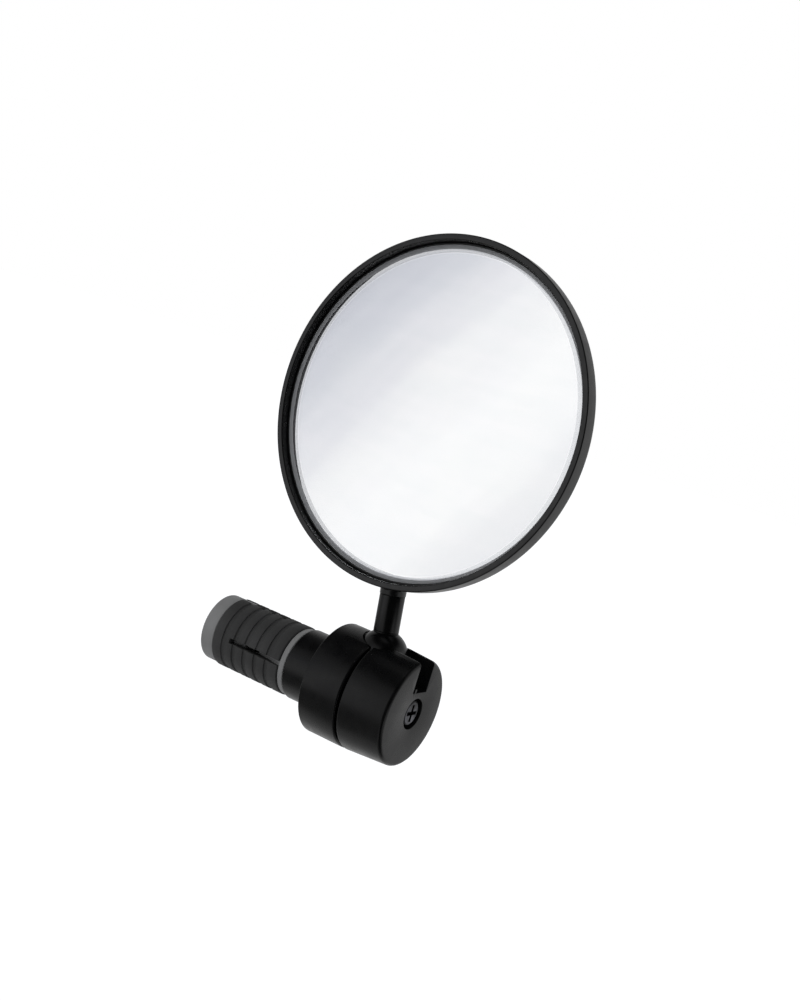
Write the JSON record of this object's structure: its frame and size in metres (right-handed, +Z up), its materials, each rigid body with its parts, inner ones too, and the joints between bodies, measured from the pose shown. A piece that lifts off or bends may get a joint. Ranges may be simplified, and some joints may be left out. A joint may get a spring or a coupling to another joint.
{
  "type": "bar-end bicycle mirror",
  "caption": "Round convex rear-view mirror on a short ball-ended stem, clamped in a split barrel that plugs and expands into the open end of a bicycle handlebar.",
  "frame": {"origin": "on the handlebar's axis, where the open end of the bar meets the barrel's shoulder", "axes": "+X outward along the bar, away from the rider's grip; +Z up through the barrel's slot, where the stem stands; -Y is the way the glass faces; millimetres in the source, metres here"},
  "size_m": [0.0834, 0.0274, 0.122],
  "materials": {
    "black_resin": "satin black glass-filled nylon",
    "case_resin": "semi-gloss black",
    "grey_resin": "plain grey nylon",
    "pale_resin": "natural acetal, waxy",
    "sleeve_rubber": "matt hard rubber",
    "gasket_rubber": "matt soft rubber",
    "foam": "open matt foam",
    "black_painted_metal": "satin black coat",
    "black_steel": "black oxide",
    "bright_steel": "zinc plated",
    "clear_glass": "clear, ground edge",
    "mirror_coat": "silvered back surface"
  },
  "bodies": {
    "bar_mount": {"inner_collar": "black_resin", "end_cap": "black_resin", "alignment_dowels": "bright_steel", "friction_pad": "pale_resin", "flat_washer": "black_steel", "spring_washer": "black_steel", "front_cone": "grey_resin", "expander_sleeve": "sleeve_rubber"},
    "clamp_screw": {"clamp_screw": "black_steel"},
    "expander_wedge": {"rear_cone": "grey_resin", "captive_nut": "bright_steel"},
    "ball": {"stem_ball": "black_painted_metal", "ball_washer": "black_resin"},
    "mirror_head": {"stem_rod": "black_painted_metal", "ball_screw": "bright_steel", "mirror_case": "case_resin", "edge_gasket": "gasket_rubber", "mirror_glass": "clear_glass", "reflective_coat": "mirror_coat", "foam_pad": "foam"}
  },
  "joints": [
    {"name": "swing", "type": "hinge", "parent": "bar_mount", "child": "ball", "pos_m": [0.0106, 0, 0.0098], "axis": [0, 1, 0], "range_deg": [-15.5, 97.5]},
    {"name": "turn", "type": "hinge", "parent": "ball", "child": "mirror_head", "pos_m": [0.0106, 0, 0.0098], "axis": [-0.1305, 0, 0.9914], "continuous": true},
    {"name": "screw_turn", "type": "hinge", "parent": "bar_mount", "child": "clamp_screw", "pos_m": [0, 0, 0], "axis": [1, 0, 0], "range_deg": [0, 1440]},
    {"name": "wedge_slide", "type": "slide", "parent": "bar_mount", "child": "expander_wedge", "axis": [-1, 0, 0], "range_m": [0, 0.0028]}
  ],
  "couplings": [
    {"joint": "screw_turn", "follows": "wedge_slide", "rad_per_m": 8975.9}
  ]
}
